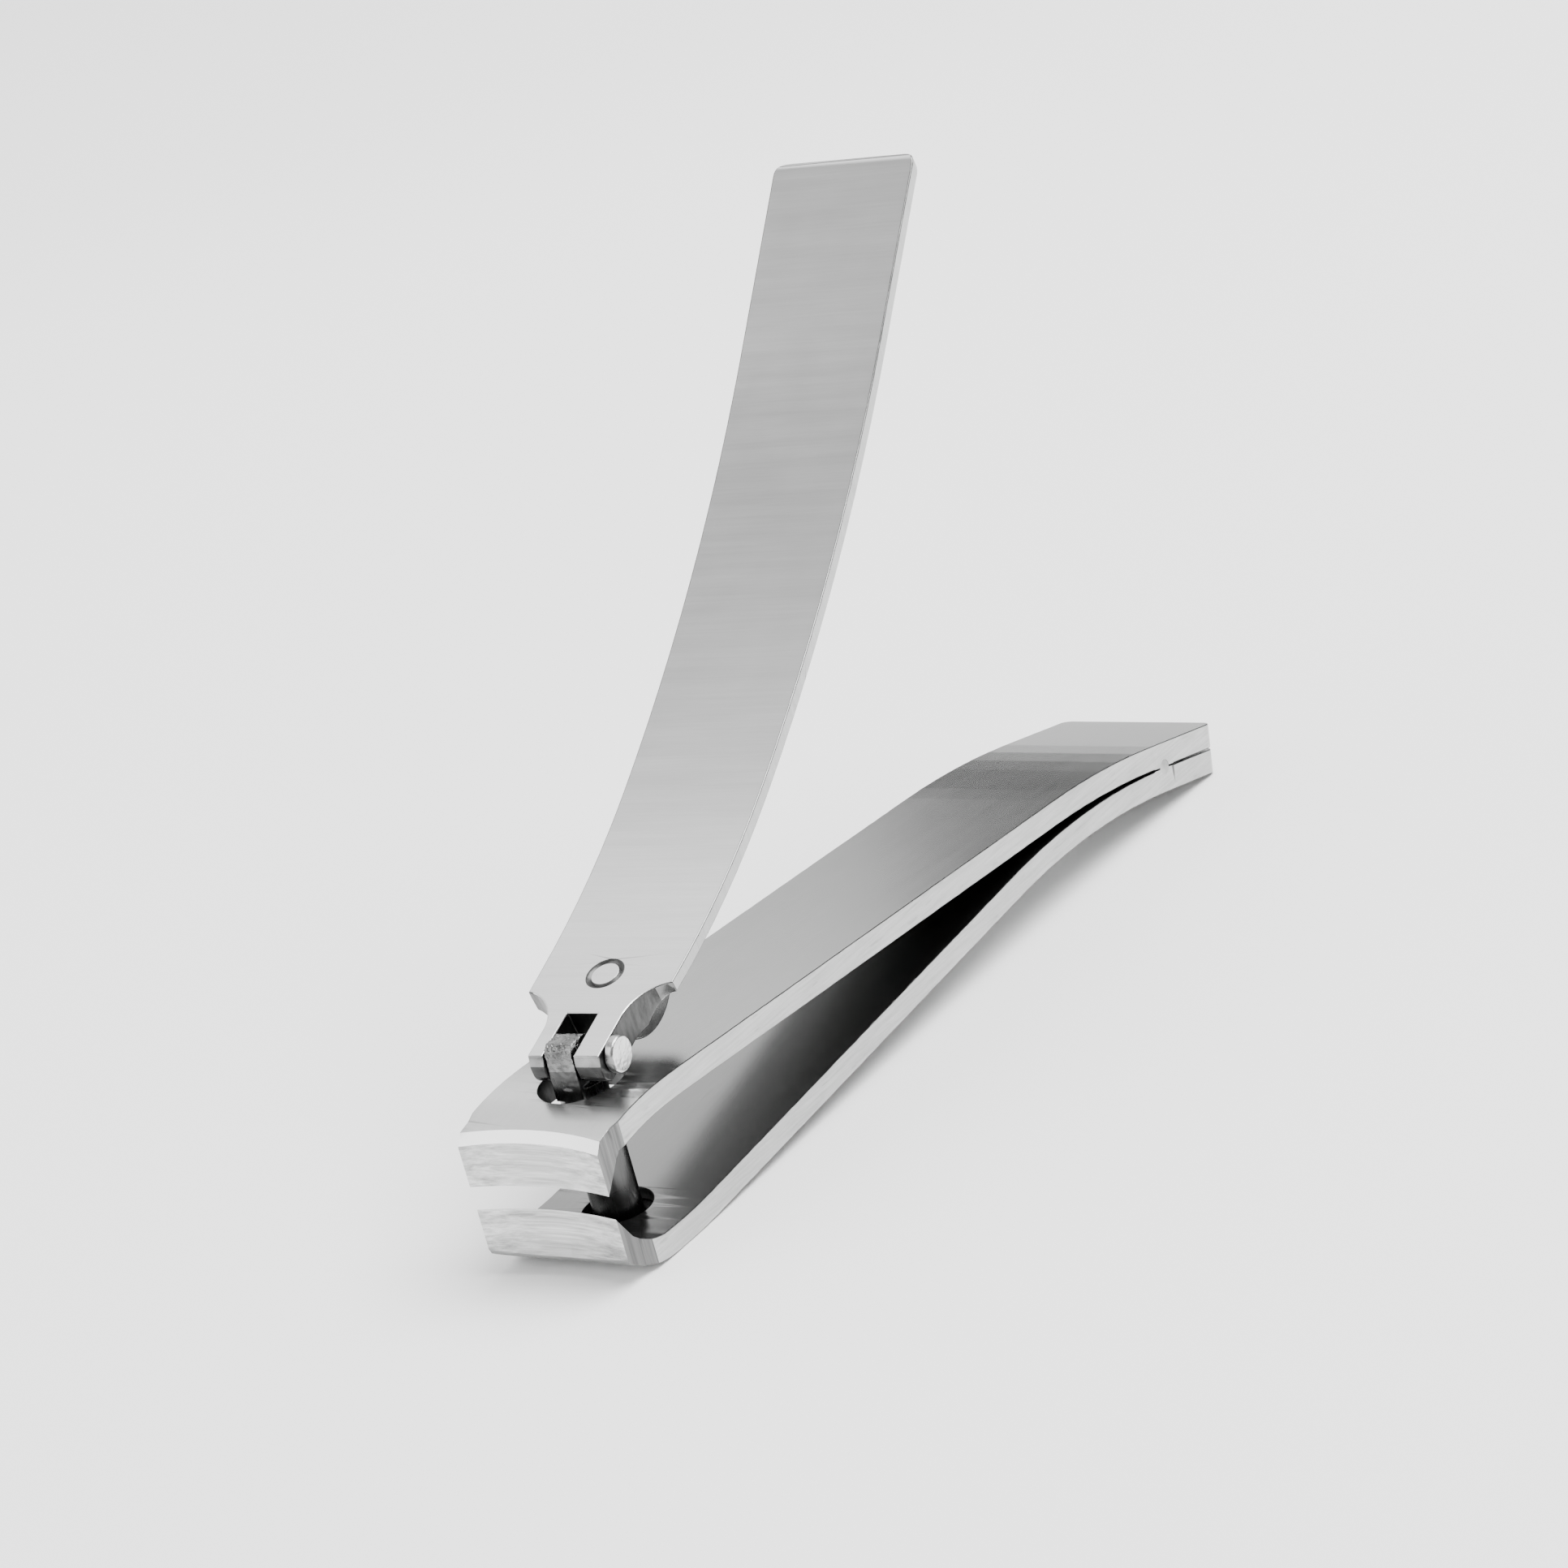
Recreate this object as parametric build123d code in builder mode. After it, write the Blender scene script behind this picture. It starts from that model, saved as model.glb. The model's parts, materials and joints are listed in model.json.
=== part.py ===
# Nail clipper: two spring-steel arms welded at the tail, a post through both jaws' roots,
# a cross pin through the post, and a bowed lever whose cam shoe presses the upper arm down.
#
# Frame: origin in the middle of the box around the clipper, on the surface it stands on,
# +X towards the handle end, +Y to the left, +Z up. Lengths in mm, angles in degrees.
# The pieces are drawn round the post's axis first and then moved to that origin.

import os
from math import cos, radians, sin, tan

from build123d import *

os.makedirs("parts", exist_ok=True)

# ---------------------------------------------------------------- driving dimensions

# Arms: one bent strip each, mirrored about the plane halfway between them up to the tail
STRIP = 1.87  # thickness of both strips
HEIGHT = 11.75  # over the two jaw bends
ARM_SLOPE = 4.3  # each arm's tilt towards the other, going to the rear
BOW_X = -0.57  # lowest and highest points of the shallow bow over the post
BOW_RADIUS = 45.0  # to the rear of the bow
LOWER_FRONT = ((45.0, 3.0), (7.0, 47.0))  # outer radius and turn of the arcs in front of the bow
UPPER_FRONT = ((24.4, 18.5),)

# Tail: both strips dip together and meet along a seam
SEAM_GAP = 0.14
SEAM_END = (74.0, 1.89)
TAIL_SLOPE = 13.2
LOWER_TAIL_RADIUS = 72.0
UPPER_TAIL_RADIUS = 88.0
TAIL_CORNER = 0.8  # rounding of the tail in plan
WELD_X = 66.9
WELD_RADIUS = 0.55
WELD_CLEARANCE = 0.05

# Plan width of the arms
HALF_WIDTH = 6.345  # at the post
TAPER = 0.00625  # growth of the half width per mm to the rear
JAW_HALF_WIDTH = 6.05
JAW_SIDE_X = (-5.6, -4.6)  # ground side of the jaw starts and ends

# Jaws
JAW_FRONT_X = -7.3  # at the sides
JAW_HOLLOW = 0.7  # how far the cutting edge is set back in the middle
UPPER_EDGE_Z = 7.05
LOWER_EDGE_Z = 5.27
UPPER_BEVEL = 48.0
LOWER_BEVEL = 58.8
LOWER_FOOT = 2.3  # the inner bevel ends this far in from the arm's outermost height
UPPER_FOOT = 1.75
LOWER_BURIED = (1.2, 3.0)  # the same for the bevel's two points inside the strip
UPPER_BURIED = (1.2, 1.7)
UPPER_FACET = 0.62  # polished facet between the jaw's front face and the arm's outer face
LOWER_FACET = 0.22

# Post
POST_RADIUS = 1.78
POST_SHOULDER_Z = 11.9
HEAD_RADIUS = 3.65
HEAD_BOTTOM_Z = 0.12
HEAD_TOP_Z = 1.0
HEAD_CLEARANCE = 0.05
LOWER_HOLE_RADIUS = 2.6
UPPER_HOLE_RADIUS = 3.1
TAB_LEFT = 1.21  # its two sides, from the post's axis
TAB_RIGHT = 1.08
TAB_ROOT_Z = 11.0
TAB_FRONT = -1.72  # towards the jaws from the pin
TAB_REAR = 1.35
TAB_CROWN = ((-1.72, 0.5), (-1.5, 1.12), (-1.0, 1.4), (0.1, 1.42))  # hammered flat, from the pin
TAB_BACK = (1.0, 0.95)

# Cross pin
PIN_Z = 13.85
PIN_RADIUS = 0.8
PIN_CLEARANCE = 0.03
PIN_HEAD_RADIUS = 1.32
PIN_HEAD_SEAT = 3.44  # from the clipper's middle plane to the head's inner face
PIN_HEAD_THICKNESS = 0.65
PIN_FAR_END = 2.48  # the far end is peened flush with the left tine
PIN_HEAD_EDGE = 0.12

# Lever, in its own frame: s along the neck from the pin, n up from the neck's top face
REST_SWIVEL = 4.5  # the lever stands a little to the left of the arms
NECK_SLOPE = 16.5
NECK_TOP = 1.2
NECK_BOTTOM = -1.3
TINE_END = ((-1.5, 1.2), (-1.85, 0.5), (-1.93, -0.35), (-1.72, -0.92), (-1.25, -1.3))
RAMP_START_S = 4.1
RAMP_END_S = 5.7
SLOT_HALF_WIDTH = 1.27
SLOT_END_S = 2.76
LEFT_NECK = ((1.2, 2.5), (3.3, 3.25), (4.85, 5.55))  # where it starts to widen, on the way, corner
RIGHT_NECK = ((2.3, -3.36), (4.4, -3.9), (5.8, -5.93))
LEVER_STRIP = 0.95
NECK_FLAT_END_S = 7.2
LEVER_ARCS = ((75.0, 12.5), (145.0, 14.7))  # radius and turn, from the neck to the tip
LEVER_STRAIGHT = 15.35
TIP_S = 72.0
TIP_HALF_WIDTH = 6.07
TIP_CORNER = 1.1
TIP_EDGE = 0.85  # rounding over the end of the strip

# Cam shoe and its rivet, in the lever's frame
SHOE_CENTRE = (6.3, 1.3)
SHOE_RADIUS = 4.4
SHOE_TOE_N = -1.34  # the toe reaches forward under the neck
SHOE_HEEL_N = -0.3
SHOE_FRONT_S = 4.75
SHOE_HALF_WIDTH = 2.9
POCKET_CLEARANCE = 0.03
RIVET_S = 6.66
RIVET_RADIUS = 1.05
RIVET_SINK_RADIUS = 1.48  # at the lever's face
RIVET_SINK_DEPTH = 0.3
RIVET_END_N = -0.9

# Middle of the box around the finished clipper, from the post's axis
BOX_MIDDLE = (33.57, 2.05)

# ---------------------------------------------------------------- derived places

FAR = 100.0  # longer than the clipper, for cutting tools
CUT = 20.0  # deeper than any local feature
TAN_ARM = tan(radians(ARM_SLOPE))
TAN_TAIL = tan(radians(TAIL_SLOPE))

# Centre of the round hollow that the jaws' front faces follow
EDGE_MIDDLE_X = JAW_FRONT_X + JAW_HOLLOW
HOLLOW_RADIUS = (JAW_HALF_WIDTH**2 + JAW_HOLLOW**2) / (2 * JAW_HOLLOW)
HOLLOW_X = EDGE_MIDDLE_X - HOLLOW_RADIUS

# Height of the seam's middle at the weld
WELD_Z = SEAM_END[1] + (SEAM_END[0] - WELD_X) * TAN_TAIL

# The lever's frame: origin on the pin, s along the neck, n at right angles to its top face
S_DIR = Vector(
    cos(radians(NECK_SLOPE)) * cos(radians(REST_SWIVEL)),
    cos(radians(NECK_SLOPE)) * sin(radians(REST_SWIVEL)),
    sin(radians(NECK_SLOPE)),
)
PIN_DIR = Vector(-sin(radians(REST_SWIVEL)), cos(radians(REST_SWIVEL)), 0)
N_DIR = S_DIR.cross(PIN_DIR)
PIN_CENTRE = Vector(0, 0, PIN_Z)
lever_side_plane = Plane(origin=PIN_CENTRE, x_dir=S_DIR, z_dir=-PIN_DIR)
lever_top_plane = Plane(origin=PIN_CENTRE, x_dir=S_DIR, z_dir=N_DIR)
post_side = Plane(origin=(0, 0, 0), x_dir=PIN_DIR.cross(Vector(0, 0, 1)), z_dir=-PIN_DIR)
pin_plane = Plane(origin=PIN_CENTRE, x_dir=(0, 0, 1), z_dir=PIN_DIR)

# ---------------------------------------------------------------- arms


def strip_side(up, front_arcs, tail_radius):
    """Side outline of one bent strip: up is +1 for the upper arm and -1 for the lower."""
    with BuildSketch(Plane.XZ) as outline:
        with BuildLine():
            ends = []
            for depth in (0, STRIP):  # the face towards the other arm, then the outer face
                away = up * (SEAM_GAP / 2 + depth)
                middle = (BOW_X, HEIGHT / 2 + up * (HEIGHT / 2 - STRIP + depth))
                front_end, heading = middle, (-1, 0)
                for radius, turn in front_arcs:
                    front = JernArc(front_end, heading, radius - STRIP + depth, up * turn)
                    front_end, heading = front @ 1, front % 1
                rear = JernArc(middle, (1, 0), BOW_RADIUS - STRIP + depth, -up * ARM_SLOPE)
                start = rear @ 1
                slope = -up * TAN_ARM
                tail_x = SEAM_END[0] + away * sin(radians(TAIL_SLOPE))
                tail_z = SEAM_END[1] + away * cos(radians(TAIL_SLOPE))
                lead = tail_z + TAN_TAIL * tail_x - start.Y + slope * start.X
                corner_x = lead / (slope + TAN_TAIL)
                corner_z = tail_z + (tail_x - corner_x) * TAN_TAIL
                run = FilletPolyline(
                    start,
                    (corner_x, corner_z),
                    (tail_x, tail_z),
                    radius=tail_radius + up * depth,
                )
                ends.append((front_end, run @ 1))
            Line(ends[0][0], ends[1][0])
            Line(ends[0][1], ends[1][1])
        make_face()
    return outline.sketch


def jaw_side(up, edge_z, bevel, foot, buried):
    """Middle section of the cutting jaw, from its edge back into the bend."""
    outermost = HEIGHT / 2 + up * HEIGHT / 2
    foot_z = outermost - up * foot
    foot_x = EDGE_MIDDLE_X + abs(foot_z - edge_z) / tan(radians(bevel))
    with BuildSketch(Plane.XZ) as section:
        with BuildLine():
            Polyline(
                (EDGE_MIDDLE_X, edge_z),
                (foot_x, foot_z),
                (foot_x, outermost - up * buried[0]),
                (EDGE_MIDDLE_X, outermost - up * buried[1]),
                close=True,
            )
        make_face()
    return section.sketch


def arm_plan():
    """Plan outline of an arm: a little wider at the tail, ground narrower at the jaw."""
    tail_x = SEAM_END[0] + STRIP
    ground, full = JAW_SIDE_X
    with BuildSketch() as plan:
        with BuildLine():
            side = Polyline(
                (2 * JAW_FRONT_X, 0),
                (2 * JAW_FRONT_X, JAW_HALF_WIDTH),
                (ground, JAW_HALF_WIDTH),
                (full, HALF_WIDTH + TAPER * full),
                (tail_x, HALF_WIDTH + TAPER * tail_x),
                (tail_x, 0),
            )
            mirror(side, about=Plane.XZ)
        make_face()
    return plan.sketch


def jaw_rim(arm):
    """The edge where the jaw's hollow front face meets the arm's outer face."""
    return arm.edges().filter_by(GeomType.BSPLINE).sort_by(Axis.X)[0]


def tail_corners(arm):
    """The two short edges at the corners of an arm's end face."""
    end_face = arm.faces().sort_by(Axis.X)[-1]
    return end_face.edges().filter_by(Axis.Y, reverse=True)


with BuildPart() as lower_arm:
    extrude(strip_side(-1, LOWER_FRONT, LOWER_TAIL_RADIUS), amount=CUT, both=True)
    with Locations((HOLLOW_X, 0, 0)):
        Cylinder(HOLLOW_RADIUS, FAR, mode=Mode.SUBTRACT)
    revolve(
        jaw_side(-1, LOWER_EDGE_Z, LOWER_BEVEL, LOWER_FOOT, LOWER_BURIED),
        axis=Axis((HOLLOW_X, 0, 0), (0, 0, 1)),
    )
    extrude(arm_plan(), amount=FAR, both=True, mode=Mode.INTERSECT)
    chamfer(jaw_rim(lower_arm), LOWER_FACET)
    fillet(tail_corners(lower_arm), TAIL_CORNER)
    with BuildSketch():
        Circle(LOWER_HOLE_RADIUS)
    extrude(amount=FAR, mode=Mode.SUBTRACT)
    with BuildSketch():
        Circle(HEAD_RADIUS + HEAD_CLEARANCE)
    extrude(amount=HEAD_TOP_Z + HEAD_CLEARANCE, mode=Mode.SUBTRACT)
    with Locations(Location((WELD_X, 0, WELD_Z), (90, 0, 0))):
        Cylinder(WELD_RADIUS, FAR, mode=Mode.SUBTRACT)

with BuildPart() as upper_arm:
    extrude(strip_side(1, UPPER_FRONT, UPPER_TAIL_RADIUS), amount=CUT, both=True)
    with Locations((HOLLOW_X, 0, 0)):
        Cylinder(HOLLOW_RADIUS, FAR, mode=Mode.SUBTRACT)
    revolve(
        jaw_side(1, UPPER_EDGE_Z, UPPER_BEVEL, UPPER_FOOT, UPPER_BURIED),
        axis=Axis((HOLLOW_X, 0, 0), (0, 0, 1)),
    )
    extrude(arm_plan(), amount=FAR, both=True, mode=Mode.INTERSECT)
    chamfer(jaw_rim(upper_arm), UPPER_FACET)
    fillet(tail_corners(upper_arm), TAIL_CORNER)
    with BuildSketch():
        Circle(UPPER_HOLE_RADIUS)
    extrude(amount=FAR, mode=Mode.SUBTRACT)
    with Locations(Location((WELD_X, 0, WELD_Z), (90, 0, 0))):
        Cylinder(WELD_RADIUS + WELD_CLEARANCE, FAR, mode=Mode.SUBTRACT)

# The weld: a bead across the seam, flush with the arms' sides
with BuildPart() as rear_weld:
    with Locations(Location((WELD_X, 0, WELD_Z), (90, 0, 0))):
        Cylinder(WELD_RADIUS, 2 * (HALF_WIDTH + TAPER * (WELD_X - WELD_RADIUS)))

# ---------------------------------------------------------------- post and cross pin

with BuildPart() as post:
    with BuildSketch(Plane.XY.offset(HEAD_BOTTOM_Z)):
        Circle(HEAD_RADIUS)
    extrude(amount=HEAD_TOP_Z - HEAD_BOTTOM_Z)
    with BuildSketch(Plane.XY.offset(HEAD_BOTTOM_Z)):
        Circle(POST_RADIUS)
    extrude(amount=POST_SHOULDER_Z - HEAD_BOTTOM_Z)
    with BuildSketch(post_side.offset(-TAB_LEFT)):
        with BuildLine():
            brow, forehead, crown, nape = ((x, PIN_Z + z) for x, z in TAB_CROWN)
            Polyline((TAB_REAR, PIN_Z), (TAB_REAR, TAB_ROOT_Z), (TAB_FRONT, TAB_ROOT_Z), brow)
            ThreePointArc(brow, forehead, crown)
            Line(crown, nape)
            ThreePointArc(nape, (TAB_BACK[0], PIN_Z + TAB_BACK[1]), (TAB_REAR, PIN_Z))
        make_face()
    extrude(amount=TAB_LEFT + TAB_RIGHT)
    with BuildSketch(pin_plane):
        Circle(PIN_RADIUS + PIN_CLEARANCE)
    extrude(amount=CUT, both=True, mode=Mode.SUBTRACT)

with BuildPart() as cross_pin:
    with BuildSketch(pin_plane.offset(-PIN_HEAD_SEAT)):
        Circle(PIN_RADIUS)
    extrude(amount=PIN_HEAD_SEAT + PIN_FAR_END)
    with BuildSketch(pin_plane.offset(-PIN_HEAD_SEAT)):
        Circle(PIN_HEAD_RADIUS)
    extrude(amount=-PIN_HEAD_THICKNESS)
    chamfer(cross_pin.faces().sort_by(Axis.Y)[0].edges(), PIN_HEAD_EDGE)

# ---------------------------------------------------------------- lever


def lever_side():
    """Side outline of the lever: the bowed strip and the thick neck below its root."""
    neck_strip = NECK_TOP - LEVER_STRIP
    brow, crease, cheek, jowl, chin = TINE_END
    with BuildSketch(lever_side_plane) as outline:
        with BuildLine():
            tips = []
            for depth in (0, LEVER_STRIP):
                flat = Line((0, NECK_TOP - depth), (NECK_FLAT_END_S, NECK_TOP - depth))
                path = flat
                for radius, turn in LEVER_ARCS:
                    path = JernArc(path @ 1, path % 1, radius + depth, turn)
                tip = path @ 1 + (path % 1) * LEVER_STRAIGHT
                Line(path @ 1, tip)
                tips.append(tip)
            Line(tips[0], tips[1])
            Line((0, NECK_TOP), (0, neck_strip))
        make_face()
        with BuildLine():
            Polyline((RAMP_END_S, NECK_TOP), brow, crease, cheek)
            ThreePointArc(cheek, jowl, chin)
            Polyline(
                chin,
                (RAMP_START_S, NECK_BOTTOM),
                (RAMP_END_S, neck_strip),
                (RAMP_END_S, NECK_TOP),
            )
        make_face()
    return outline.sketch


def lever_plan():
    """Plan outline of the lever along its neck, with the open slot for the post's tab."""
    with BuildSketch(lever_top_plane) as plan:
        with BuildLine():
            Polyline(LEFT_NECK[0], (-CUT, LEFT_NECK[0][1]), (-CUT, RIGHT_NECK[0][1]), RIGHT_NECK[0])
            ThreePointArc(*LEFT_NECK)
            ThreePointArc(*RIGHT_NECK)
            FilletPolyline(
                LEFT_NECK[2],
                (TIP_S, TIP_HALF_WIDTH),
                (TIP_S, -TIP_HALF_WIDTH),
                RIGHT_NECK[2],
                radius=TIP_CORNER,
            )
        make_face()
        with Locations((SLOT_END_S - CUT, 0)):
            Rectangle(2 * CUT, 2 * SLOT_HALF_WIDTH, mode=Mode.SUBTRACT)
    return plan.sketch


with BuildPart() as lever:
    extrude(lever_side(), amount=CUT, both=True)
    fillet(lever.edges().filter_by(Axis(PIN_CENTRE, PIN_DIR)).sort_by(Axis.Z)[-1:], TIP_EDGE)
    extrude(lever_plan(), amount=FAR, both=True, mode=Mode.INTERSECT)
    with BuildSketch(pin_plane):
        Circle(PIN_RADIUS + PIN_CLEARANCE)
    extrude(amount=CUT, both=True, mode=Mode.SUBTRACT)
    with BuildSketch(lever_top_plane.offset(NECK_TOP - LEVER_STRIP)):
        with Locations((SHOE_FRONT_S - POCKET_CLEARANCE + CUT / 2, 0)):
            Rectangle(CUT, 2 * (SHOE_HALF_WIDTH + POCKET_CLEARANCE))
    extrude(amount=-CUT, mode=Mode.SUBTRACT)
    with BuildSketch(lever_top_plane):
        with Locations((RIVET_S, 0)):
            Circle(RIVET_RADIUS)
    extrude(amount=CUT, both=True, mode=Mode.SUBTRACT)
    with Locations(lever_top_plane.offset(NECK_TOP).location * Location((RIVET_S, 0, 0))):
        Cone(
            RIVET_RADIUS,
            2 * RIVET_SINK_RADIUS - RIVET_RADIUS,
            2 * RIVET_SINK_DEPTH,
            mode=Mode.SUBTRACT,
        )

with BuildPart() as cam_shoe:
    shoe_top = NECK_TOP - LEVER_STRIP
    centre_s, centre_n = SHOE_CENTRE
    toe_s = centre_s - (SHOE_RADIUS**2 - (centre_n - SHOE_TOE_N) ** 2) ** 0.5
    heel_s = centre_s + (SHOE_RADIUS**2 - (centre_n - SHOE_HEEL_N) ** 2) ** 0.5
    with BuildSketch(lever_side_plane):
        with BuildLine():
            Polyline(
                (toe_s, SHOE_TOE_N),
                (SHOE_FRONT_S, SHOE_TOE_N),
                (SHOE_FRONT_S, shoe_top),
                (heel_s, shoe_top),
                (heel_s, SHOE_HEEL_N),
            )
            ThreePointArc(
                (toe_s, SHOE_TOE_N), (centre_s, centre_n - SHOE_RADIUS), (heel_s, SHOE_HEEL_N)
            )
        make_face()
    extrude(amount=SHOE_HALF_WIDTH, both=True)
    with BuildSketch(lever_top_plane.offset(shoe_top)):
        with Locations((RIVET_S, 0)):
            Circle(RIVET_RADIUS)
    extrude(amount=RIVET_END_N - shoe_top, mode=Mode.SUBTRACT)

with BuildPart() as cam_rivet:
    with BuildSketch(lever_top_plane.offset(RIVET_END_N)):
        with Locations((RIVET_S, 0)):
            Circle(RIVET_RADIUS)
    extrude(amount=NECK_TOP - RIVET_END_N)

# ---------------------------------------------------------------- files

AT_ORIGIN = Location((-BOX_MIDDLE[0], -BOX_MIDDLE[1], 0))

lower_arm.part.move(AT_ORIGIN)
lower_arm.part.label = "lower_arm"
export_step(lower_arm.part, "parts/lower_arm.step")

upper_arm.part.move(AT_ORIGIN)
upper_arm.part.label = "upper_arm"
export_step(upper_arm.part, "parts/upper_arm.step")

rear_weld.part.move(AT_ORIGIN)
rear_weld.part.label = "rear_weld"
export_step(rear_weld.part, "parts/rear_weld.step")

post.part.move(AT_ORIGIN)
post.part.label = "post"
export_step(post.part, "parts/post.step")

cross_pin.part.move(AT_ORIGIN)
cross_pin.part.label = "cross_pin"
export_step(cross_pin.part, "parts/cross_pin.step")

lever.part.move(AT_ORIGIN)
lever.part.label = "lever"
export_step(lever.part, "parts/lever.step")

cam_shoe.part.move(AT_ORIGIN)
cam_shoe.part.label = "cam_shoe"
export_step(cam_shoe.part, "parts/cam_shoe.step")

cam_rivet.part.move(AT_ORIGIN)
cam_rivet.part.label = "cam_rivet"
export_step(cam_rivet.part, "parts/cam_rivet.step")
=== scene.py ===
# Nail clipper: the looks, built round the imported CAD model.
# Lengths are in metres, unless a name or a comment says mm.

import json
import math

import bmesh
import bpy
from mathutils import Matrix, Vector, noise

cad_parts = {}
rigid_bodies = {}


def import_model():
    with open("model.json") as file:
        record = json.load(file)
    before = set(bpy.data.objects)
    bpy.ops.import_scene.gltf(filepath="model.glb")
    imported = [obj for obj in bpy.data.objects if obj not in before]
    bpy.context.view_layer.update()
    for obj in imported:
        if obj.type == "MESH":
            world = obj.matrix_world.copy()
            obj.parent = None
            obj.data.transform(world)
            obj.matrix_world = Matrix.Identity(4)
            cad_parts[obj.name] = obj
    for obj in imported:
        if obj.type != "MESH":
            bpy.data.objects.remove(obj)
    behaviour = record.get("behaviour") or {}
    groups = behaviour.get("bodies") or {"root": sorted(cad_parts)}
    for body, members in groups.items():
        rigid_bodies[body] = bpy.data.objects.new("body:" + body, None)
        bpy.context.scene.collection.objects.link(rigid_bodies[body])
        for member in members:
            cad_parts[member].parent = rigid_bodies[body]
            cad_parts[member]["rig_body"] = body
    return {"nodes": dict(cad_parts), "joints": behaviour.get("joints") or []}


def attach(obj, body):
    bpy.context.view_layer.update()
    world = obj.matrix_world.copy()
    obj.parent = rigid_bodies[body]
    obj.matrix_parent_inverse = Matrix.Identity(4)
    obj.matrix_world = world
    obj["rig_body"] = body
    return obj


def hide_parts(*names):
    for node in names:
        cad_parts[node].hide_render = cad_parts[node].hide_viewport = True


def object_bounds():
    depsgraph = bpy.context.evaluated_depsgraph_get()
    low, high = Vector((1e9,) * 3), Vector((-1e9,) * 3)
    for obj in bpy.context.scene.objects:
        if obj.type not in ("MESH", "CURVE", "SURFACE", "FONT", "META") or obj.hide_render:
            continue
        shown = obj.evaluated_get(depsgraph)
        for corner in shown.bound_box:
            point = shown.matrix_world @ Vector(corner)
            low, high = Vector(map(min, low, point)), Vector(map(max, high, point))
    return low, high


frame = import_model()
cad_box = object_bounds()
MM = 0.001

# ---------------------------------------------------------------- places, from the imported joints

joints = {j["name"]: j for j in frame["joints"]}
POST = Vector(joints["post_swivel"]["pos_m"])
POST.z = 0.0
PIN = Vector(joints["lever_press"]["pos_m"])
PIN_DIR = Vector(joints["lever_press"]["axis"]).normalized()
WELD = Vector(joints["jaw_close"]["pos_m"])
NECK_SLOPE = math.radians(16.5)
AWAY = PIN_DIR.cross(Vector((0, 0, 1)))  # level, from the post towards the lever's tip
S_DIR = AWAY * math.cos(NECK_SLOPE) + Vector((0, 0, math.sin(NECK_SLOPE)))
N_DIR = S_DIR.cross(PIN_DIR)
SWIVEL = math.atan2(AWAY.y, AWAY.x)

# ---------------------------------------------------------------- camera

camera = bpy.data.objects.new("camera", bpy.data.cameras.new("camera"))
bpy.context.scene.collection.objects.link(camera)
camera.data.lens = 135.41  # mm
camera.data.sensor_width = 36.0  # mm
camera.data.clip_start, camera.data.clip_end = 0.01, 20.0
CAMERA_FROM_POST = Vector((-0.27755, -0.24888, 0.17244))
right, down, ahead = (
    Vector((0.5333, -0.8095, -0.2457)),
    Vector((-0.4354, -0.0137, -0.9001)),
    Vector((0.7252, 0.5870, -0.3598)),
)
turn = Matrix((right, -down, -ahead)).transposed().to_4x4()
camera.matrix_world = Matrix.Translation(POST + CAMERA_FROM_POST) @ turn
bpy.context.scene.camera = camera

# ---------------------------------------------------------------- materials


def nodes_of(name):
    material = bpy.data.materials.new(name)
    material.use_nodes = True
    tree = material.node_tree
    return material, tree, tree.nodes["Principled BSDF"]


def noise_field(tree, source, scale, detail=3.0, rough=0.55):
    """Noise of source's coordinates. scale is in cycles per metre on each axis."""
    mapping = tree.nodes.new("ShaderNodeMapping")
    mapping.inputs["Scale"].default_value = scale
    tree.links.new(source, mapping.inputs["Vector"])
    field = tree.nodes.new("ShaderNodeTexNoise")
    field.inputs["Scale"].default_value = 1.0
    field.inputs["Detail"].default_value = detail
    field.inputs["Roughness"].default_value = rough
    tree.links.new(mapping.outputs["Vector"], field.inputs["Vector"])
    return field.outputs["Fac"]


def remap(tree, source, lo, hi, from_lo=0.3, from_hi=0.7):
    node = tree.nodes.new("ShaderNodeMapRange")
    for k, v in (("From Min", from_lo), ("From Max", from_hi), ("To Min", lo), ("To Max", hi)):
        node.inputs[k].default_value = v
    tree.links.new(source, node.inputs["Value"])
    return node.outputs["Result"]


def math_node(tree, kind, a, b):
    node = tree.nodes.new("ShaderNodeMath")
    node.operation = kind
    for socket, v in zip(node.inputs, (a, b)):
        if isinstance(v, (int, float)):
            socket.default_value = v
        else:
            tree.links.new(v, socket)
    return node.outputs["Value"]


def colour_by(tree, shader, source, dark, light):
    """Base colour from dark to light as source goes from 0 to 1."""
    shades = tree.nodes.new("ShaderNodeValToRGB")
    for element, colour in zip(shades.color_ramp.elements, (dark, light)):
        element.color = (*(min(1.0, c) for c in colour), 1)
    tree.links.new(source, shades.inputs["Fac"])
    tree.links.new(shades.outputs["Color"], shader.inputs["Base Color"])


def bump_by(tree, shader, height, depth):
    """Surface relief from a height between 0 and 1. depth is in micrometres."""
    bump = tree.nodes.new("ShaderNodeBump")
    bump.inputs["Strength"].default_value = 1.0
    bump.inputs["Distance"].default_value = depth * 1e-6
    tree.links.new(height, bump.inputs["Height"])
    tree.links.new(bump.outputs["Normal"], shader.inputs["Normal"])


TONE_SPREAD = 0.45  # how much darker and lighter than its tone a steel can get


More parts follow.
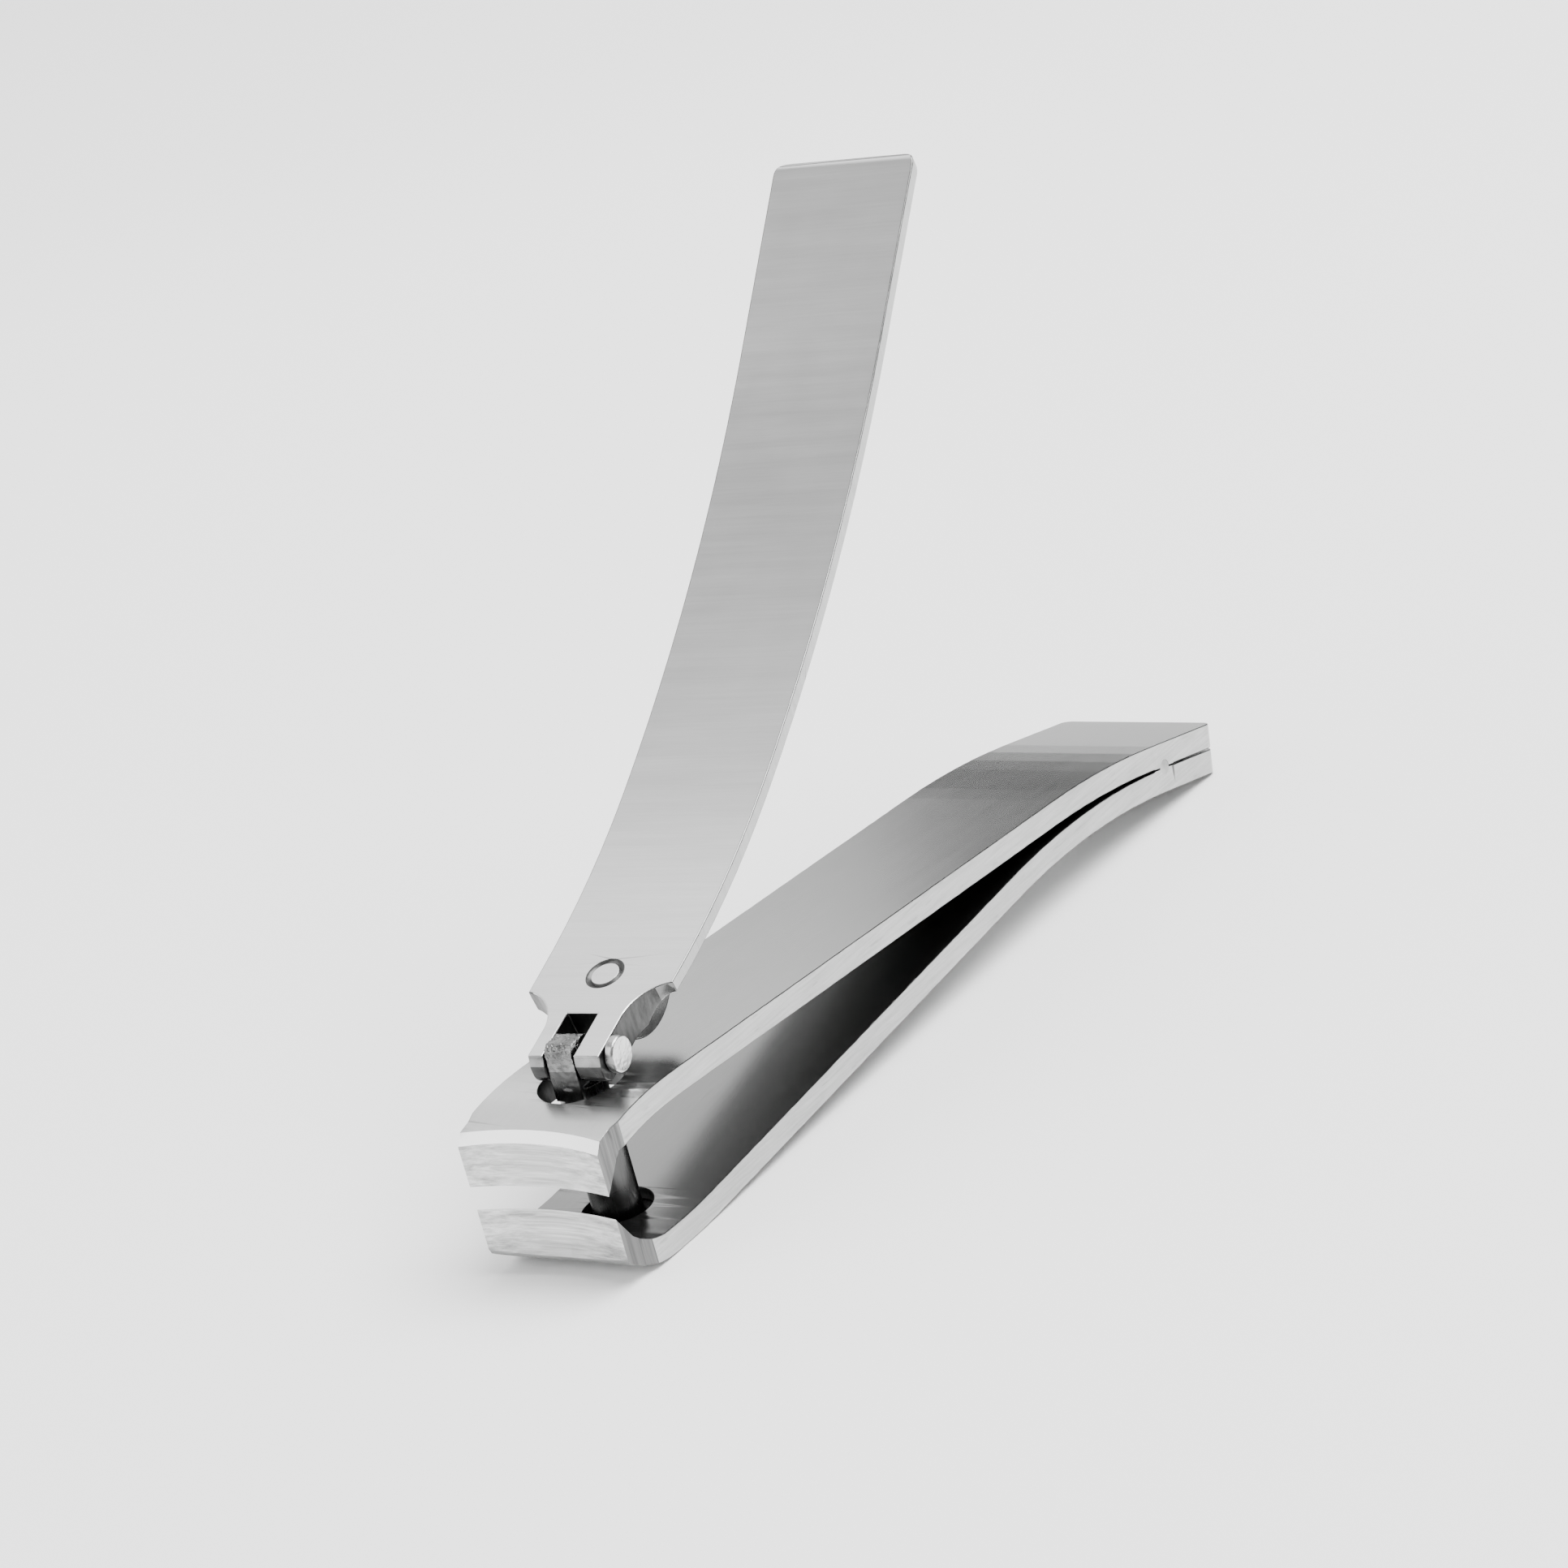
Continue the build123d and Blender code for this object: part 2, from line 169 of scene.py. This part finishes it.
def steel(
    name, tone, rough, along, grain, run, depth, streak, turn=0.0, blotch=0.05, wear=1.0
):
    """Ground or brushed steel.

    along is the brush's axis, turned by turn about Z. grain and run are cycles per metre across
    the strokes and along them, and depth is the strokes' depth in micrometres. streak and blotch
    are the contrast of strokes and clouds, and wear scales the stray marks.
    """
    material, tree, shader = nodes_of(name)
    shader.inputs["Metallic"].default_value = 1.0
    coord = tree.nodes.new("ShaderNodeTexCoord").outputs["Object"]
    if turn:
        spin = tree.nodes.new("ShaderNodeMapping")
        spin.inputs["Rotation"].default_value = (0, 0, turn)
        tree.links.new(coord, spin.inputs["Vector"])
        coord = spin.outputs["Vector"]
    stretch = lambda across, length: tuple(length if a == along else across for a in "XYZ")
    fine = noise_field(tree, coord, stretch(grain, run), 4.0, 0.7)
    broad = noise_field(tree, coord, stretch(grain * 0.22, run * 0.45), 2.0)
    cloud = noise_field(tree, coord, (260.0,) * 3, 3.0)
    scratch = noise_field(tree, coord, stretch(grain * 0.5, run * 1.7), 1.0)
    marks = remap(tree, scratch, 0.0, wear, 0.68, 0.74)
    value = math_node(
        tree,
        "ADD",
        remap(tree, fine, -streak, streak),
        remap(tree, broad, -streak * 0.6, streak * 0.6),
    )
    value = math_node(tree, "ADD", value, remap(tree, cloud, -blotch, blotch))
    value = math_node(tree, "ADD", value, math_node(tree, "MULTIPLY", marks, -streak))
    colour_by(
        tree,
        shader,
        math_node(tree, "ADD", value, 0.5),
        [c * (1 - TONE_SPREAD) for c in tone],
        [c * (1 + TONE_SPREAD) for c in tone],
    )
    r = remap(tree, broad, rough - 0.035 * wear, rough + 0.045 * wear)
    r = math_node(tree, "ADD", r, remap(tree, cloud, -0.03 * wear, 0.03 * wear))
    r = math_node(tree, "ADD", r, math_node(tree, "MULTIPLY", marks, 0.06))
    tree.links.new(r, shader.inputs["Roughness"])
    height = math_node(tree, "ADD", fine, math_node(tree, "MULTIPLY", broad, 1.5))
    bump_by(tree, shader, math_node(tree, "SUBTRACT", height, marks), depth)
    return material


def forged(name, tone, rough, size, depth):
    """Hammered or peened steel with no brush direction.

    size is the dents' width in mm, and depth is their depth in micrometres.
    """
    material, tree, shader = nodes_of(name)
    shader.inputs["Metallic"].default_value = 1.0
    coord = tree.nodes.new("ShaderNodeTexCoord").outputs["Object"]
    dents = noise_field(tree, coord, (1000.0 / size,) * 3, 4.0, 0.6)
    cloud = noise_field(tree, coord, (320.0 / size,) * 3, 2.0)
    clouds = remap(tree, cloud, 0.0, 1.0)
    colour_by(tree, shader, clouds, [c * 0.6 for c in tone], [c * 1.2 for c in tone])
    tree.links.new(remap(tree, dents, rough - 0.06, rough + 0.1), shader.inputs["Roughness"])
    bump_by(tree, shader, dents, depth)
    return material


def grey(v):
    return (v * 0.995, v, v * 0.995)


arm_face = steel(
    "arm_face", grey(0.58), 0.25, "X", 3600, 150, 0.25, 0.03, blotch=0.01, wear=0.15
)
# painted shade: the arms' inner faces are the arm steel made much darker, for the shade between
# the two arms
arm_inside_painted_shade = steel(
    "arm_inside_painted_shade", grey(0.2), 0.22, "X", 3600, 200, 0.25, 0.03, blotch=0.01, wear=0.25
)
arm_side = steel("arm_side", grey(0.47), 0.36, "X", 5200, 260, 1.4, 0.16)
jaw_front = steel("jaw_front", grey(0.5), 0.33, "Y", 4400, 45, 2.2, 0.42)
jaw_side = steel("jaw_side", grey(0.17), 0.36, "Z", 4400, 70, 2.2, 0.45)
# the upper jaw's facet is polished, and its near-white tone is a painted highlight on top of that
jaw_facet_polish_and_highlight = steel(
    "jaw_facet_polish_and_highlight", grey(0.98), 0.24, "Y", 5200, 260, 0.5, 0.04, blotch=0.02, wear=0.3
)
# painted shade: the lower jaw's facet faces down and gets a darker copy of the facet steel
jaw_under_painted_shade = steel("jaw_under_painted_shade", grey(0.3), 0.3, "Y", 5200, 260, 1.0, 0.2)
# painted dark reflection: a dark copy of the arm steel for the dark line along the arms' rounded
# long edges
edge_painted_dark_reflection = steel("edge_painted_dark_reflection", grey(0.12), 0.24, "X", 2600, 900, 0.8, 0.3)
# painted shade: the post hole's walls are made nearly black for the shade inside the hole
hole_wall_painted_shade = steel("hole_wall_painted_shade", grey(0.07), 0.42, "Z", 5200, 500, 1.5, 0.12)
lever_face = steel(
    "lever_face", grey(0.72), 0.31, "Y", 5200, 110, 0.8, 0.05, -SWIVEL, 0.01, 0.2
)
lever_side = steel("lever_side", grey(0.42), 0.22, "Z", 3600, 260, 0.6, 0.08, -SWIVEL)
# painted dark reflection: a dark copy of the lever steel for the dark line along the lever's
# rounded long edges
lever_edge_painted_dark_reflection = steel("lever_edge_painted_dark_reflection", grey(0.2), 0.2, "Z", 2600, 500, 0.6, 0.15, -SWIVEL)
# painted shade: the neck's walls below and under the top face are made nearly black for the shade
# under the lever's root
neck_side_painted_shade = steel("neck_side_painted_shade", grey(0.07), 0.3, "Z", 2200, 420, 14.0, 0.5, -SWIVEL)
# painted shade: the slot's walls between the tines are made nearly black for the shade in the slot
slot_wall_painted_shade = steel("slot_wall_painted_shade", grey(0.05), 0.4, "Z", 3200, 420, 2.0, 0.2, -SWIVEL)
tine_end = forged("tine_end", grey(0.32), 0.28, 0.5, 12.0)
# painted shade: the lower part of the tine ends is a much darker copy of the tine end steel
tine_under_painted_shade = forged("tine_under_painted_shade", grey(0.09), 0.3, 0.5, 12.0)
# painted shade: the lever's underside is the lever face's steel made nearly black
lever_under_painted_shade = steel(
    "lever_under_painted_shade", grey(0.1), 0.3, "Y", 5200, 110, 0.8, 0.05, -SWIVEL, 0.01, 0.2
)
# painted shade: the groove round the rivet is made nearly black for the shade in it
groove_painted_shade = steel("groove_painted_shade", grey(0.07), 0.3, "Y", 5200, 260, 1.0, 0.1)
weld_metal = forged("weld_metal", grey(0.5), 0.38, 0.5, 3.0)
# painted shade: the post's shank and hammered crown are made dark for the shade between the arms
# and under the lever
post_shank_painted_shade = steel("post_shank_painted_shade", grey(0.1), 0.28, "Z", 3200, 220, 1.2, 0.12)
post_crown_painted_shade = forged("post_crown_painted_shade", grey(0.2), 0.26, 0.3, 20.0)
pin_metal = steel("pin_metal", grey(0.84), 0.28, "Z", 3600, 600, 3.0, 0.2)
pin_rim = forged("pin_rim", grey(0.4), 0.3, 0.35, 6.0)
# painted shade: the cam shoe under the neck is made dark for the shade under the lever
shoe_steel = steel("shoe_steel", grey(0.14), 0.22, "Y", 3600, 260, 0.8, 0.08, -SWIVEL)

# ---------------------------------------------------------------- mesh helpers


def start(node):
    """A clean editable copy of a CAD node's mesh, its coplanar triangles joined again."""
    bm = bmesh.new()
    bm.from_mesh(frame["nodes"][node].data)
    bmesh.ops.remove_doubles(bm, verts=bm.verts, dist=1e-7)
    bmesh.ops.dissolve_limit(bm, angle_limit=math.radians(0.15), verts=bm.verts, edges=bm.edges)
    return bm


def end(bm, node, materials, keep_sharp=40.0):
    """Writes the mesh as a new piece that replaces the node and rides on its body.

    Edges sharper than keep_sharp degrees aren't smoothed over.
    """
    name = node + "_detail"
    mesh = bpy.data.meshes.new(name)
    for f in bm.faces:
        f.smooth = True
    for e in bm.edges:
        e.smooth = not (len(e.link_faces) == 2 and e.calc_face_angle(0) > math.radians(keep_sharp))
    bm.to_mesh(mesh)
    bm.free()
    for material in materials:
        mesh.materials.append(material)
    piece = bpy.data.objects.new(name, mesh)
    bpy.context.scene.collection.objects.link(piece)
    piece.modifiers.new("weighted", "WEIGHTED_NORMAL").keep_sharp = True
    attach(piece, frame["nodes"][node]["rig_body"])
    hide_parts(node)
    return piece


def corners(bm, degrees, keep=lambda middle: True):
    """Edges where two faces meet at more than that angle, and keep(the edge's middle) is true."""
    return [
        e
        for e in bm.edges
        if len(e.link_faces) == 2
        and e.calc_face_angle(0) > math.radians(degrees)
        and keep((e.verts[0].co + e.verts[1].co) / 2)
    ]


def round_over(bm, edges, width_mm, segments=3, material=-1):
    bmesh.ops.bevel(
        bm,
        geom=edges,
        offset=width_mm * MM,
        offset_type="OFFSET",
        segments=segments,
        profile=0.5,
        affect="EDGES",
        clamp_overlap=False,
        loop_slide=True,
        material=material,
        miter_outer="SHARP",
    )


def slice_along(bm, direction, start_mm, end_mm, step_mm):
    """Cuts the mesh across a direction, so that long straight edges get points to vary."""
    d = Vector(direction)
    x = start_mm
    while x < end_mm:
        bmesh.ops.bisect_plane(
            bm,
            geom=[*bm.verts, *bm.edges, *bm.faces],
            dist=1e-7,
            plane_co=POST + d * (x * MM),
            plane_no=d,
        )
        x += step_mm


def local(p):
    """A point in mm from the post's foot."""
    return (p - POST) * 1000.0


# ---------------------------------------------------------------- arms

# all in mm from the post's foot, as part.py has them
HOLLOW_HALF_CHORD, HOLLOW_DEPTH = 6.05, 0.7  # the jaws' cutting edge is a shallow hollow arc
HOLLOW_BACK_X = -6.6
HOLLOW_RADIUS = (HOLLOW_HALF_CHORD**2 + HOLLOW_DEPTH**2) / (2 * HOLLOW_DEPTH)
HOLLOW_X = HOLLOW_BACK_X - HOLLOW_RADIUS
HALF_WIDTH, WIDENING = 6.345, 0.00625  # half the strip's width at the post, and what x adds to it
BLADE_Z = {1: 7.05, -1: 5.27}  # height of the upper and lower cutting edge
JAW_X = -5.5  # the jaw is in front of this
BEND_X = -4.9  # the side is ground with the jaw in front of this
HOLE_REACH = 3.75  # everything this near to the post's axis belongs to the hole

ARM_MATERIALS = [
    arm_face,
    arm_inside_painted_shade,
    arm_side,
    jaw_front,
    jaw_side,
    jaw_facet_polish_and_highlight,
    edge_painted_dark_reflection,
    hole_wall_painted_shade,
    jaw_under_painted_shade,
]
FACE, INSIDE, SIDE, FRONT, JAW_SIDE, FACET, EDGE, HOLE, UNDER = range(len(ARM_MATERIALS))


def in_hollow(p):
    return abs(math.hypot(p.x - HOLLOW_X, p.y) - HOLLOW_RADIUS) < 0.03 and p.x < -6.0


def sort_arm_faces(bm, up):
    """Gives each face its finish and its painted light: painted shade on the inside, hole and
    lower jaw's under faces, a painted highlight on the upper jaw's facet. up is 1 for the upper
    arm and -1 for the lower one.
    """
    for f in bm.faces:
        c, n = local(f.calc_center_median()), f.normal
        if math.hypot(c.x, c.y) < HOLE_REACH and abs(n.z) < 0.5:
            f.material_index = HOLE
        elif abs(n.y) > 0.7:
            f.material_index = JAW_SIDE if c.x < BEND_X else SIDE
        elif n.x < -0.5 and in_hollow(c):
            f.material_index = FRONT
        elif c.x < JAW_X and n.x < (-0.5 if up > 0 else -0.75) and n.z * up > 0:
            f.material_index = FACET if up > 0 else UNDER
        elif n.x > 0.9 or (c.x > 60 and n.x > 0.7):
            f.material_index = SIDE
        elif n.z * up > 0.2:
            f.material_index = FACE
        else:
            f.material_index = INSIDE


def make_arm(node, up):
    bm = start(node)
    slice_along(bm, (1, 0, 0), -3.36, 74.0, 0.45)
    bm.normal_update()
    sort_arm_faces(bm, up)

    def near_weld(p):
        return math.hypot(local(p).x - local(WELD).x, local(p).z - local(WELD).z) < 1.3

    def in_hole(p):
        return math.hypot(local(p).x, local(p).y) < HOLE_REACH + 0.05

    def on_jaw(p):
        on_blade = local(p).x < -6.0 and abs(local(p).z - BLADE_Z[up]) < 0.12
        return local(p).x < JAW_X - 0.1 and not on_blade

    def on_strip(p):
        return not (near_weld(p) or in_hole(p) or local(p).x < JAW_X)

    # the hole's rounded rim takes the hole wall's painted shade
    round_over(bm, corners(bm, 28, in_hole), 0.06, 2, HOLE)
    round_over(bm, corners(bm, 28, on_jaw), 0.03, 2)  # the blade itself stays sharp
    # the strip's rounded edges take the edge steel's painted dark reflection
    round_over(bm, corners(bm, 45, on_strip), 0.07, 2, EDGE)
    # the long edges were ground by hand, so their line wanders a little
    for v in bm.verts:
        p = local(v.co)
        half = HALF_WIDTH + WIDENING * p.x
        if p.x > -3 and half - abs(p.y) < 0.1 and not near_weld(v.co):
            slow = noise.noise(Vector((p.x * 1.1, p.y, up * 7.0)))
            quick = noise.noise(Vector((p.x * 3.1, p.y, up * 3.0)))
            inwards = max(0.0, 0.012 + 0.03 * (slow + 0.6 * quick)) * MM
            v.co.y -= math.copysign(inwards, p.y)
    return end(bm, node, ARM_MATERIALS)


make_arm("lower_arm", -1)
make_arm("upper_arm", 1)

# ---------------------------------------------------------------- weld

WELD_PROUD = 0.055 * MM  # the bead stands this much over the CAD's

bm = start("rear_weld")
slice_along(bm, (0, 1, 0), -6.6, 6.7, 0.4)
for v in bm.verts:
    away = v.co - WELD
    away.y = 0
    if away.length > 0.3 * MM:
        v.co += away.normalized() * WELD_PROUD
round_over(bm, corners(bm, 50), 0.03, 1)
end(bm, "rear_weld", [weld_metal])

# ---------------------------------------------------------------- post and pin


def cast(bm, voxel_mm):
    """The same solid with an even skin, fine enough to dent."""
    mesh = bpy.data.meshes.new("cast")
    bm.to_mesh(mesh)
    bm.free()
    thing = bpy.data.objects.new("cast", mesh)
    bpy.context.scene.collection.objects.link(thing)
    remesh = thing.modifiers.new("remesh", "REMESH")
    remesh.mode = "VOXEL"
    remesh.voxel_size = voxel_mm * MM
    evaluated = thing.evaluated_get(bpy.context.evaluated_depsgraph_get())
    out = bmesh.new()
    out.from_mesh(evaluated.to_mesh())
    bpy.data.objects.remove(thing)
    bmesh.ops.smooth_vert(
        out, verts=out.verts, factor=0.5, use_axis_x=True, use_axis_y=True, use_axis_z=True
    )
    return out


def dent(bm, depth_mm, size_mm, where, seed):
    """Pushes the skin inwards in irregular dents where where(point) says, from 0 to 1."""
    bm.normal_update()
    for v in bm.verts:
        p = v.co * (1000.0 / size_mm)
        n = noise.noise(p + Vector((seed, 0, 0)))
        n += 0.5 * noise.noise(p * 2.3 + Vector((0, seed, 0)))
        v.co -= v.normal * (abs(n) * depth_mm * MM * where(v.co))


def ramp(value, lo, hi):
    return max(0.0, min(1.0, (value - lo) / (hi - lo)))


def along_pin(p):
    """Distance from the post's axis along the pin, in mm."""
    return abs((p - PIN).dot(PIN_DIR)) / MM


CROWN_Z = 13.3  # mm, the tab is hammered from here up

bm = cast(start("post"), 0.075)
dent(bm, 0.11, 0.36, lambda p: ramp(p.z / MM, 13.2, 14.6), 4.0)
dent(bm, 0.05, 0.9, lambda p: ramp(p.z / MM, 11.6, 12.6), 9.0)
bm.normal_update()
for f in bm.faces:
    f.material_index = 1 if f.calc_center_median().z > CROWN_Z * MM else 0
end(bm, "post", [post_shank_painted_shade, post_crown_painted_shade], 180)

bm = cast(start("cross_pin"), 0.05)
dent(bm, 0.025, 0.5, lambda p: ramp(along_pin(p), 3.2, 4.0), 2.0)
bm.normal_update()
for f in bm.faces:
    f.material_index = 0 if abs(f.normal.dot(PIN_DIR)) > 0.93 else 1
end(bm, "cross_pin", [pin_metal, pin_rim], 180)

# ---------------------------------------------------------------- lever, shoe and rivet

LEVER_MATERIALS = [
    lever_face,
    lever_side,
    neck_side_painted_shade,
    groove_painted_shade,
    lever_edge_painted_dark_reflection,
    slot_wall_painted_shade,
    tine_end,
    tine_under_painted_shade,
    lever_under_painted_shade,
]
(
    TOP,
    LONG_SIDE,
    NECK_SIDE,
    GROOVE,
    LONG_EDGE,
    SLOT_WALL,
    TINE_END,
    TINE_UNDER,
    BELOW,
) = range(len(LEVER_MATERIALS))

# in mm in the neck's frame: s from the pin towards the tip, n up out of the top face, y across
NECK_TOP_N = 1.15  # just under the top face
RIVET_S = 6.66
RIVET = PIN + S_DIR * RIVET_S * MM

bm = start("lever")
slice_along(bm, AWAY, 8.2, 64.0, 0.8)
bm.normal_update()
for f in bm.faces:
    c = f.calc_center_median() - PIN
    s, n, y = c.dot(S_DIR) / MM, c.dot(N_DIR) / MM, c.dot(PIN_DIR) / MM
    across = abs(f.normal.dot(PIN_DIR))
    # the groove round the rivet takes the painted shade
    if math.hypot(s - RIVET_S, y) < 1.5 and 0.3 < n < 1.18:
        f.material_index = GROOVE
    # the slot between the tines takes the painted shade
    elif s < 2.9 and abs(y) < 1.29 and n < NECK_TOP_N:
        f.material_index = SLOT_WALL
    # the lower part of the tine ends takes the painted shade
    elif s < 0.4 and n < NECK_TOP_N and across < 0.3:
        f.material_index = TINE_END if n > 0.45 else TINE_UNDER
    # the neck's walls below the top face take the painted shade
    elif s < 6.0 and n < NECK_TOP_N and (across > 0.15 or n < -0.5):
        f.material_index = NECK_SIDE
    elif across > 0.5:
        f.material_index = LONG_SIDE
    # faces turned down under the lever take the painted shade
    elif f.normal.x > 0.2 and f.normal.z < 0.3:
        f.material_index = BELOW


def clear_of_rivet_and_pin(p):
    return (p - RIVET).length > 2.2 * MM and (p - PIN).length > 1.2 * MM


round_over(bm, corners(bm, 28, clear_of_rivet_and_pin), 0.12)
bm.normal_update()
# the rounded long edges take the lever edge steel's painted dark reflection
for f in bm.faces:
    s = (f.calc_center_median() - PIN).dot(S_DIR)
    across = abs(f.normal.dot(PIN_DIR))
    if s > 5.2 * MM and 0.2 < across < 0.93 and f.material_index != GROOVE:
        f.material_index = LONG_EDGE
for v in bm.verts:
    v.co.z = min(v.co.z, cad_box[1][2])
end(bm, "lever", LEVER_MATERIALS)

bm = start("cam_shoe")
round_over(bm, corners(bm, 28), 0.2)
end(bm, "cam_shoe", [shoe_steel])

bm = start("cam_rivet")
round_over(bm, corners(bm, 40), 0.05, 2)
end(bm, "cam_rivet", [lever_face])

# ---------------------------------------------------------------- floor, world and lights

floor_mesh = bpy.data.meshes.new("floor")
bm = bmesh.new()
bmesh.ops.create_grid(bm, x_segments=8, y_segments=8, size=4.0)
bm.to_mesh(floor_mesh)
bm.free()
floor = bpy.data.objects.new("floor", floor_mesh)
bpy.context.scene.collection.objects.link(floor)
paper, tree, shader = nodes_of("paper")
shader.inputs["Base Color"].default_value = (0.93, 0.93, 0.93, 1)
shader.inputs["Roughness"].default_value = 0.8
floor_mesh.materials.append(paper)

world = bpy.data.worlds.new("studio")
bpy.context.scene.world = world
world.use_nodes = True
tree = world.node_tree
background = tree.nodes["Background"]
direction = tree.nodes.new("ShaderNodeTexCoord").outputs["Generated"]
split = tree.nodes.new("ShaderNodeSeparateXYZ")
tree.links.new(direction, split.inputs["Vector"])
TO_X, TO_Y, TO_Z = (split.outputs[k] for k in "XYZ")


def tones(source, stops):
    """Grey levels over a value from -1 to 1. stops are (value, grey), in rising order."""
    greys = tree.nodes.new("ShaderNodeValToRGB")
    tree.links.new(remap(tree, source, 0.0, 1.0, -1.0, 1.0), greys.inputs["Fac"])
    elements = greys.color_ramp.elements
    for i, (place, tone) in enumerate(stops):
        e = elements[i] if i < 2 else elements.new((place + 1) / 2)  # a new ramp has two
        e.position, e.color = (place + 1) / 2, (tone, tone, tone, 1)
    return greys.outputs["Color"]


# low down, the studio is dark behind the tail and bright past the jaws
aside = math_node(tree, "MULTIPLY", math_node(tree, "SUBTRACT", TO_Y, TO_X), 0.7071)
low = tones(aside, [(-0.35, 0.03), (-0.1, 0.1), (0.0, 0.35), (0.15, 0.8), (0.4, 1.3)])
# higher up it is brightest over the tail
high = tones(
    TO_X,
    [
        (-0.85, 1.5),
        (-0.5, 1.5),
        (-0.32, 0.12),
        (-0.1, 0.6),
        (0.07, 1.3),
        (0.25, 2.2),
        (0.45, 1.8),
        (0.64, 1.5),
        (0.8, 0.5),
    ],
)
both = tree.nodes.new("ShaderNodeMix")
both.data_type = "RGBA"
tree.links.new(remap(tree, TO_Z, 0.0, 1.0, 0.3, 0.55), both.inputs["Factor"])
tree.links.new(low, both.inputs["A"])
tree.links.new(high, both.inputs["B"])
near = tree.nodes.new("ShaderNodeMix")  # the side of the room that the clipper's right faces
near.data_type = "RGBA"
tree.links.new(remap(tree, TO_Y, 0.0, 1.0, -0.35, 0.0), near.inputs["Factor"])
near.inputs["A"].default_value = (0.22, 0.22, 0.22, 1)
tree.links.new(both.outputs["Result"], near.inputs["B"])
tree.links.new(near.outputs["Result"], background.inputs["Color"])
background.inputs["Strength"].default_value = 1.0


def softbox(name, at, aim, size, power):
    """A rectangular lamp that the camera itself doesn't see."""
    lamp = bpy.data.lights.new(name, "AREA")
    lamp.shape = "RECTANGLE"
    lamp.size, lamp.size_y = size
    lamp.energy = power
    box = bpy.data.objects.new(name, lamp)
    bpy.context.scene.collection.objects.link(box)
    box.location = at
    box.rotation_euler = (Vector(aim) - Vector(at)).to_track_quat("-Z", "Y").to_euler()
    box.visible_camera = False


MIDDLE = (0.0, 0.0, 0.02)
softbox("overhead", (0.25, -0.35, 0.9), MIDDLE, (0.9, 0.9), 30.0)
softbox("front", (-0.45, 0.5, 0.45), MIDDLE, (0.7, 0.5), 2.4)
softbox("back", (0.175, 0.18, 0.125), (-0.03, 0.0, 0.01), (0.1, 0.11), 0.045)
